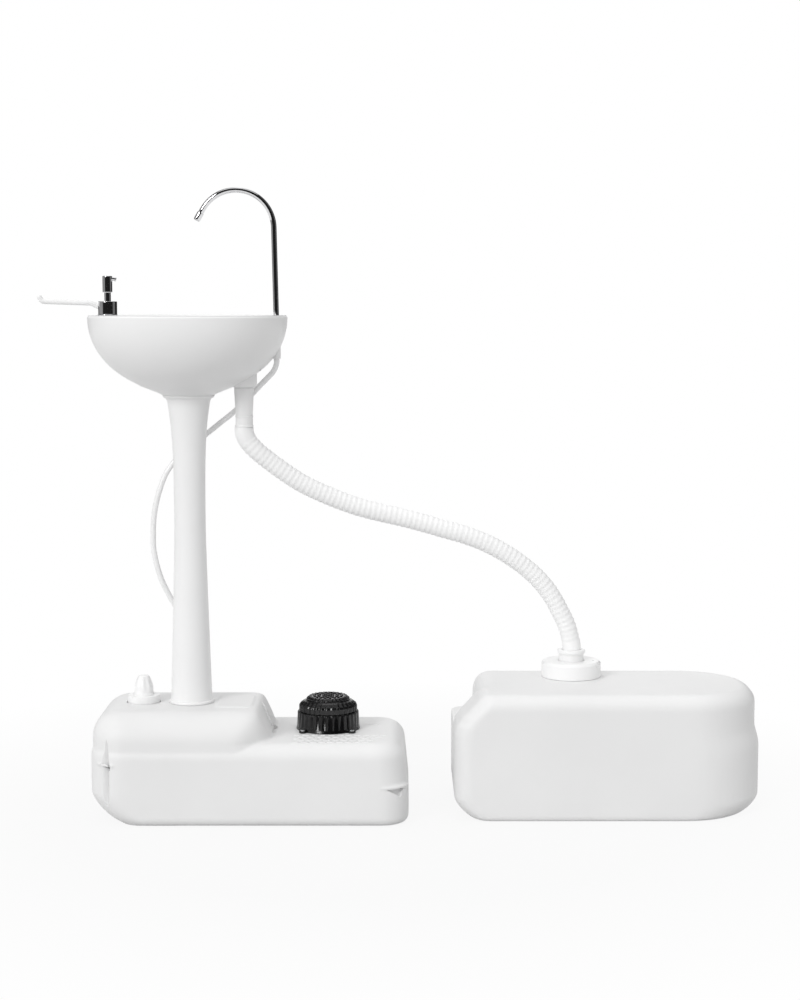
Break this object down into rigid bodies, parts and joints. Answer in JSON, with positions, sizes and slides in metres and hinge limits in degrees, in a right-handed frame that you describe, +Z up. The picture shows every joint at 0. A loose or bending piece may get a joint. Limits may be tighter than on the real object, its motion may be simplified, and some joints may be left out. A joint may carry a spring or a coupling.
{
  "type": "camp wash stand",
  "caption": "Free-standing camp wash basin on a column over a fresh water tank with a foot pump, gooseneck spout, soap dispenser, towel arm, and a hose to a recovery tank.",
  "frame": {"origin": "on the floor, on the axis of the column", "axes": "+Z up along the column, -Y the front, +X towards the recovery tank"},
  "size_m": [1.1911, 0.3218, 1.0195],
  "materials": {
    "white_plastic": "fine grained",
    "white_fitting": "satin",
    "black_rubber": "matte",
    "black_plastic": "satin",
    "grey_seal": "matte",
    "steel": "drawn wire",
    "chrome": "polished",
    "tube_plastic": "smooth",
    "hose_plastic": "corrugated"
  },
  "bodies": {
    "stand": {"fresh_tank": "white_plastic", "pump_gasket": "grey_seal", "pump_cup": "white_fitting", "pump_collar": "black_plastic", "pump_screws": "steel", "boot_rim": "black_rubber", "pump_boot": "black_rubber", "pump_spring": "steel", "inlet_flap": "grey_seal", "pickup_tube": "white_fitting", "pickup_strainer": "white_fitting", "outlet_valve": "grey_seal", "outlet_elbow": "white_fitting", "delivery_tube": "tube_plastic", "tank_outlet": "white_fitting", "outlet_nut": "white_fitting", "column": "white_plastic", "basin": "white_plastic", "drain_gasket": "grey_seal", "drain_flange": "chrome", "drain_tail": "white_fitting", "hose_cuff": "white_fitting", "drain_hose": "hose_plastic", "spout_bush": "white_fitting", "spout_seal": "grey_seal", "supply_tube": "tube_plastic", "soap_bottle": "white_fitting", "soap_housing": "white_fitting", "soap_collar": "chrome", "soap_spring": "steel", "dip_tube": "tube_plastic", "recovery_tank": "white_plastic", "recovery_seal": "grey_seal", "hose_nipple": "white_plastic"},
    "pump_tread": {"pump_tread": "black_rubber"},
    "spout": {"gooseneck": "chrome", "spout_tip": "chrome"},
    "soap_plunger": {"soap_stem": "chrome"},
    "soap_press_head": {"soap_head": "chrome"},
    "towel_arm": {"towel_arm": "white_fitting"},
    "fill_cap": {"fill_cap": "white_plastic", "fill_cap_seal": "grey_seal"},
    "recovery_cap_ring": {"recovery_cap": "white_plastic"}
  },
  "joints": [
    {"name": "pump_press", "type": "slide", "parent": "stand", "child": "pump_tread", "axis": [0, 0, -1], "range_m": [0, 0.016], "stiffness_N_per_m": 1500, "springref_m": -0.004, "deforming": ["pump_boot", "pump_spring"]},
    {"name": "spout_swivel", "type": "hinge", "parent": "stand", "child": "spout", "pos_m": [0.143, 0, 0.812], "axis": [0, 0, 1], "range_deg": [-90, 90]},
    {"name": "soap_press", "type": "slide", "parent": "stand", "child": "soap_plunger", "axis": [0, 0, -1], "range_m": [0, 0.012], "stiffness_N_per_m": 400, "springref_m": -0.004, "deforming": ["soap_spring"]},
    {"name": "soap_head_turn", "type": "hinge", "parent": "soap_plunger", "child": "soap_press_head", "pos_m": [-0.129, 0, 0.86], "axis": [0, 0, 1], "continuous": true},
    {"name": "towel_swing", "type": "hinge", "parent": "stand", "child": "towel_arm", "pos_m": [-0.127, 0.034, 0.812], "axis": [0, 0, 1], "range_deg": [-90, 45]},
    {"name": "fill_cap_lift", "type": "slide", "parent": "stand", "child": "fill_cap", "axis": [0, 0, 1], "range_m": [0, 0.045]},
    {"name": "recovery_cap_turn", "type": "hinge", "parent": "stand", "child": "recovery_cap_ring", "pos_m": [0.632, 0.085, 0.216], "axis": [0, 0, 1], "range_deg": [0, 360]}
  ]
}
